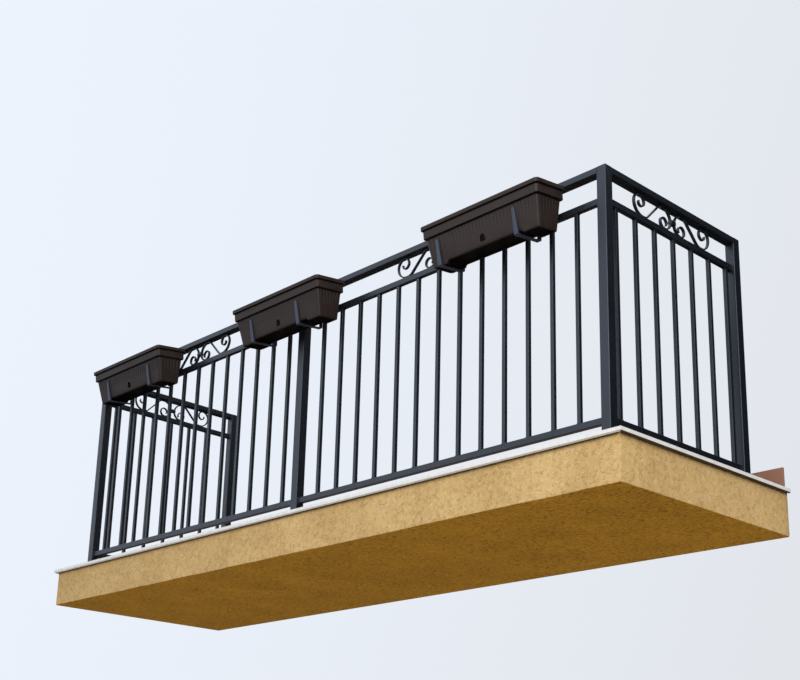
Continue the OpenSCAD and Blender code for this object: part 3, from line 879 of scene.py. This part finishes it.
def trough():
    """A fluted trough as one closed skin under its rim at z = 0: rounded rectangles, one for each row.

    A row gives a height, the inset from the rim's outline and the corner radius. Its spread is 1, and falls
    to 0 at both ends of the skin, where a floor closes on its middle line as a hip roof does. The wall lies
    in by the grooves' depth at that height times groove(t), with t counted in ribs along the side.
    """
    low = -PLANTER_H
    floor = low + FOOT_H + PLANTER_WALL
    inner = wall_inset(floor) + PLANTER_WALL
    rows = [
        # Underside, tapered wall, the step out to the band, the band, the rim, the inside and its floor
        (low + 5, PLANTER_LEAN + 14, 5), (low + 4.4, PLANTER_LEAN + 11, 6),
        (low + 0.8, PLANTER_LEAN + 9.2, 7), (low, PLANTER_LEAN + 8, 8), (low, PLANTER_LEAN + 2.5, 9),
        (low + 0.4, PLANTER_LEAN + 0.9, 11), (low + 1.8, wall_inset(low + 2) + 0.1, 12),
        *((z, wall_inset(z), 12) for z in (low + 11, low + 22, -122, -116, -109, -101, -92, -75, -62)),
        (-57.5, wall_inset(-58), 12), (-55.6, wall_inset(-56) + 0.6, 12), (-54.8, wall_inset(-55) + 2.6, 12),
        (-51.4, wall_inset(-51) + 2.6, 12), (-51, 12.5, 12), (-50.9, 9, 12), (-50.3, 7.5, 12), (-49, 7, 12),
        (-32, 6.8, 12), (-21.6, 6.6, 12), (-20.6, 7.4, 12), (-20, 9.6, 12), (-16.4, 9.6, 12), (-16, 7, 12),
        (-15.9, 3, 12), (-15.6, 0.9, 13), (-14.4, 0, 14), (-2.2, 0, 14), (-0.7, 0.6, 13.5), (0, 2.2, 12),
        (0, 17, 9), (-0.8, 19.2, 8), (-2.5, 20, 8), (-40, 20.4, 8),
        (floor + 4, inner, 8), (floor + 0.9, inner + 1.2, 8), (floor, inner + 4, 7),
    ]
    rows = rows[:1] * 2 + rows + rows[-1:] * 2
    spread = np.ones((len(rows), 1))
    spread[[0, 1, -2, -1], 0] = 0, 0.5, 0.5, 0
    height, inset, radius = np.array(rows, float).T[:, :, None]
    depth = np.interp(height, *GROOVE_DEPTH)
    lap = perimeter()
    between, out, flute = lap[:, :2], lap[:, 2:4], lap[:, 4]
    lie_in = depth * groove(flute)
    half_l, half_w = half_size(inset)
    hip = half_l - (1 - spread) * half_w
    x = np.clip(between[:, 0] * (half_l - radius) + (radius - lie_in) * out[:, 0], -hip, hip)
    y = (between[:, 1] * (half_w - radius) + (radius - lie_in) * out[:, 1]) * spread
    step = smooth_step((FOOT_GAP / 2 + 5 - np.abs(x)) / 10)
    lift = FOOT_H * step * np.clip(1 - (height - low) / 20, 0, 1)
    outside = np.arange(len(rows))[:, None] <= np.argmax(height == 0)
    return skin(coords(x, y, height + np.where(outside, lift, 0)), caps=False)


def from_outline(x, y):
    """How far in from the rim's outline a place is."""
    return np.minimum(PLANTER_L / 2 - np.abs(x), PLANTER_W / 2 - np.abs(y))


def recess_shading(points):
    """How far painted shade darkens a trough at each point: 1 in the grooves between the ribs and in the
    recesses under the rim and the band, where shade falls. It fades out with the depth of the grooves, and
    over a millimetre beside the recesses."""
    x, y, z = points.T
    half_l, half_w = half_size(wall_inset(z))
    corner = 12.0
    on_long = np.abs(y) > half_w - 5
    run_l, run_w = x / (half_l - corner) + 1, y / (half_w - corner) + 1
    t = np.where(on_long, run_l * LONG_FLUTES, run_w * SHORT_FLUTES) / 2
    deep = np.interp(z, [-122, -116, -109, -101, -92, -62, -57], [0, 0.11, 0.39, 0.7, 0.91, 1, 0.8])
    between_ribs = groove(t) * deep
    between_ribs *= (z < -52) & (on_long | (np.abs(x) > half_l - 5))
    between_ribs *= np.where(on_long, np.abs(x) < half_l - corner + 1, np.abs(y) < half_w - corner + 1)
    under_band, under_rim = [-56.5, -55.2, -50.95, -50.5], [-21, -20.2, -15.95, -15.7]
    recess = sum(np.interp(z, heights, [0, 1, 1, 0]) for heights in (under_band, under_rim))
    recess *= from_outline(x, y) < 19.5
    return np.clip(between_ribs + recess, 0, 1)


def inner_faces(points, triangles):
    """Which triangles line the trough, its underside or its overflow hole.

    They lie inside the opening or the wall's middle and above the floor, or inside the foot's edge, or
    have all three corners on the hole's outline.
    """
    x, y, z = points[triangles].mean(axis=1).T
    inside = from_outline(x, y) > np.where(z > -45, 19, wall_inset(z) + 3.7)
    lining = inside & (z < -1) & (z > FOOT_H + PLANTER_WALL - PLANTER_H - 0.5)
    beneath = (z < FOOT_H - PLANTER_H + 4) & (from_outline(x, y) > PLANTER_LEAN + 8)
    x, y, z = points.T
    above, near = z - HOLE_SPRING, 0.15
    across = np.where(above > 0, np.hypot(x, above), np.where(z < HOLE_FOOT + 0.1, HOLE_R, np.abs(x)))
    on_outline = (np.abs(across - HOLE_R) < near) & (np.abs(x) < HOLE_R + near)
    on_outline &= (y < 0) & (z > HOLE_FOOT - 0.1)
    return lining | beneath | on_outline[triangles].all(axis=1)


def arch_cutter():
    """A prism with a round top and a flat foot, to cut the overflow hole through the front wall."""
    a = np.linspace(0, np.pi, 17)
    x = np.append(HOLE_R * np.cos(a), [-HOLE_R, HOLE_R])
    z = np.append(HOLE_SPRING + HOLE_R * np.sin(a), [HOLE_FOOT, HOLE_FOOT])
    return skin(coords(x, [[-PLANTER_W / 2], [-PLANTER_W / 4]], z))


def hung(points):
    """Points (..., y, z) of the upright trough as it hangs, turned forward by the tilt about its rim's
    middle: y' = y cos t - z sin t and z' = y sin t + z cos t."""
    y, z = points[..., 0], points[..., 1]
    c, s = math.cos(PLANTER_TILT), math.sin(PLANTER_TILT)
    return coords(PLANTER_Y + y * c - z * s, PLANTER_TOP + y * s + z * c)


def cut_trough():
    """The trough with its overflow hole cut by a boolean, read back as one part, the painted shade of its
    recesses and its lining.
    """
    body = piece("trough_blank", trough(), PLASTIC, weighted=False, merge=0.02)
    cutter = piece("hole_blank", arch_cutter(), PLASTIC, weighted=False)
    cut = body.modifiers.new("hole", "BOOLEAN")
    cut.operation, cut.solver, cut.object = "DIFFERENCE", "MANIFOLD", cutter
    graph = bpy.context.evaluated_depsgraph_get()
    mesh = bpy.data.meshes.new_from_object(body.evaluated_get(graph))
    mesh.calc_loop_triangles()
    points = values_of(mesh.vertices, "co").astype(float) / MILLIMETRE - [0, 0, SLAB_TOP]
    triangles = values_of(mesh.loop_triangles, "vertices", np.int32)
    for obj in (body, cutter):
        bpy.data.objects.remove(obj)
    bpy.data.meshes.remove(mesh)
    recess_shade, lining = recess_shading(points), inner_faces(points, triangles)
    points[:, 1:] = hung(points[:, 1:])
    return (points, [triangles]), recess_shade, lining


def strap_bracket():
    """A bent strap at x = 0: over the handrail, down behind the trough, forward under it and up its front.

    The line is rounded at each bend. The front upright is thicker, narrows from its foot to its tip and
    is rounded off there; behind it the bar thins to the strap within 14 mm.
    """
    foot_y = PLANTER_LEAN - PLANTER_W / 2
    lip_y = foot_y - CLIP_H * (PLANTER_LEAN - BAND_IN) / (PLANTER_H - BAND_H)
    half, hook_drop, bend = STRAP_T / 2, 40.0, 3.2
    tip_width, strap_width = 13.5, 19.5
    foot, tip = hung(np.array([(foot_y - CLIP_T / 2, -PLANTER_H - half),
                               (lip_y - CLIP_T / 4, CLIP_H - PLANTER_H)]))
    hook_y, turn_y, over = FRONT + POST + half, FRONT - half, RAIL_TOP + half
    turn_z = foot[1] + (turn_y - foot[0]) * math.tan(PLANTER_TILT)
    corners = [(hook_y, RAIL_TOP - hook_drop), (hook_y, over), (turn_y, over), (turn_y, turn_z), foot, tip]
    line, gone = densified(filleted(corners, bend), 12.0)
    to_tip = gone[-1] - gone
    upright = np.clip(to_tip / CLIP_H, 0, 1)
    width = tip_width + (strap_width - tip_width) * upright - 4 * np.clip(1 - to_tip / 6, 0, 1)
    thick = CLIP_T * (0.5 + 0.5 * upright) - (CLIP_T - STRAP_T) * np.clip((to_tip - CLIP_H) / 14, 0, 1)
    return sweep(coords(0, *line.T), (1, 0, 0), width, thick, 1.2, soft=1.0)


trough_part, trough_recess_shade, trough_lining = cut_trough()
bracket_part = strap_bracket()
for name, x in PLANTER_XS.items():
    hanging = piece(f"planter_{name}_trough", placed(trough_part, x), PLASTIC,
                    (f"planter_{name}",), smooth_angle=38)
    # The attribute carries the trough's painted shade in its grooves and recesses.
    point_values(hanging, "recess_shade", trough_recess_shade)
    # The lining faces take the near-black copy, which is painted shade.
    second_material(hanging, SHADED_LINING, trough_lining)
    straps = repeated(bracket_part, [(place, 0, 0) for place in BRACKET_XS[name]])
    piece(f"brackets_{name}_straps", straps, STRAP_STEEL, (f"brackets_{name}",))

# CAD pieces whose shape is right keep it and get their own finish
for name, material in (("slab_core", CONCRETE), ("mortar_bed", MORTAR)):
    node_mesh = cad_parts[name].data
    node_mesh.materials.clear()
    node_mesh.materials.append(material)

# --- Stage, light and camera, in metres
FLOOR_LEVEL, FLOOR_RADIUS = -2.9, 600.0
CAMERA_LENS, CAMERA_SHIFT = 59.390, (0.0079, 0.15)
CAMERA_PLACE, CAMERA_TURN = (4.1803, -4.2435, -1.2058), (47.01, 16.40, 1.54)


def stage_face(name, corners, material):
    """One flat face of the studio, which is no part of the balcony."""
    mesh = bpy.data.meshes.new(name)
    mesh.from_pydata(corners.tolist(), [], [tuple(range(len(corners)))])
    mesh.materials.append(material)
    face = bpy.data.objects.new(name, mesh)
    bpy.context.scene.collection.objects.link(face)
    return face


def studio_material(name, light, dark, cloud_mm, **sockets):
    """A matt, even studio surface with a very faint cloudiness."""
    material, place = new_material(name, **sockets)
    return dressed(material, mixed(noise(place, cloud_mm, detail=2.0), linear(light), linear(dark)))


def studio_floor():
    """A pale round floor that reaches the horizon, a storey below the slab.

    Glossy rays go through it to the dark card below.
    """
    a = round_trip(96)
    rim = coords(FLOOR_RADIUS * np.cos(a), FLOOR_RADIUS * np.sin(a), FLOOR_LEVEL)
    pale = studio_material("pale_studio_floor", "#E9E4DA", "#E3DDD2", 900, Roughness=0.9,
                           Specular_IOR_Level=0.2)
    stage_face("studio_floor", rim, pale).visible_glossy = False


def dark_cards():
    """Two dark cards, seen only in glossy surfaces: one stands beyond the right end, so that the steel's side
    faces stay dark, and one lies under the floor, so that its undersides do."""
    dark = studio_material("dark_studio_card", "#26282B", "#1E2023", 700, Roughness=0.95,
                           Specular_IOR_Level=0.05)
    corner = np.array([[-1, -1], [1, -1], [1, 1], [-1, 1]])
    # Each card: its name, its centre and its two half sides
    for name, centre, across, along in (
            ("dark_card_right", (4.4, 3.6, 2.0), (3.45, -3.6, 0.0), (0.0, 0.0, 3.4)),
            ("dark_card_ground", (0.0, 0.0, FLOOR_LEVEL - 0.05), (300.0, 0.0, 0.0), (0.0, 300.0, 0.0))):
        card = stage_face(name, centre + corner @ np.array([across, along]), dark)
        card.visible_camera = card.visible_diffuse = card.visible_shadow = False


def stood(name, data, place, right, up, forward):
    """An object at a place, with its own X, Y and -Z along right, up and forward."""
    obj = bpy.data.objects.new(name, data)
    turn = np.stack([right, up, -forward], axis=1)
    obj.matrix_world = Matrix([(*row, p) for row, p in zip(turn, place)] + [(0, 0, 0, 1)])
    bpy.context.scene.collection.objects.link(obj)
    return obj


def softbox(name, place, aim, size, power, colour, mirrored=True):
    """A square area lamp at a place, facing another, and seen in glossy surfaces where it is mirrored."""
    light = bpy.data.lights.new(name, "AREA")
    light.shape, light.size, light.energy, light.color = "SQUARE", size, power, colour
    forward = unit(np.subtract(aim, place))
    right = unit(np.cross(forward, (0, 0, 1)))
    stood(name, light, place, right, np.cross(right, forward), forward).visible_glossy = mirrored


def studio_world():
    """A pale room, a little brighter and cooler towards the open side: a smooth step of the direction's
    dot product with (-0.78, -0.55, 0.30)."""
    world = bpy.data.worlds.new("studio")
    world.use_nodes = True
    tree = world.node_tree
    tree.nodes.clear()
    direction = add("ShaderNodeTexCoord", tree=tree).outputs["Generated"]
    open_side = add("ShaderNodeVectorMath", {0: direction, 1: (-0.78, -0.55, 0.30)},
                    operation="DOT_PRODUCT").outputs["Value"]
    colour = mixed(ramp(open_side, -0.7, 0.9, kind="SMOOTHSTEP"),
                   (0.70, 0.71, 0.72, 1), (0.86, 0.92, 1.02, 1))
    shader = add("ShaderNodeBackground", {"Color": colour, "Strength": 1.0})
    add("ShaderNodeOutputWorld", {"Surface": shader.outputs["Background"]})
    bpy.context.scene.world = world


def photograph_camera():
    """The camera that the slab, posts and rails give: yaw turns left from +Y, pitch lifts, roll turns about
    the view. Part of its lift is done by the lens shift."""
    yaw, pitch, roll = np.radians(CAMERA_TURN)
    forward = np.array([-np.sin(yaw) * np.cos(pitch), np.cos(yaw) * np.cos(pitch), np.sin(pitch)])
    level = np.array([np.cos(yaw), np.sin(yaw), 0.0])
    above = np.cross(level, forward)
    right = np.cos(roll) * level + np.sin(roll) * above
    up = -np.sin(roll) * level + np.cos(roll) * above
    data = bpy.data.cameras.new("camera")
    data.sensor_width, data.lens = 36.0, CAMERA_LENS
    data.shift_x, data.shift_y = CAMERA_SHIFT
    data.clip_start, data.clip_end = 0.05, 2000.0
    bpy.context.scene.camera = stood("camera", data, CAMERA_PLACE, right, up, forward)


studio_floor()
dark_cards()
studio_world()
softbox("key_front", (3.2, -5.0, 2.2), (1.0, -0.8, 0.3), 3.0, 112.0, (1.0, 0.985, 0.96))
softbox("fill_right", (5.0, -2.2, 0.8), (1.0, -0.5, 0.2), 2.6, 29.0, (1.0, 0.98, 0.95), mirrored=False)
photograph_camera()
bpy.context.scene.view_settings.view_transform = "Standard"
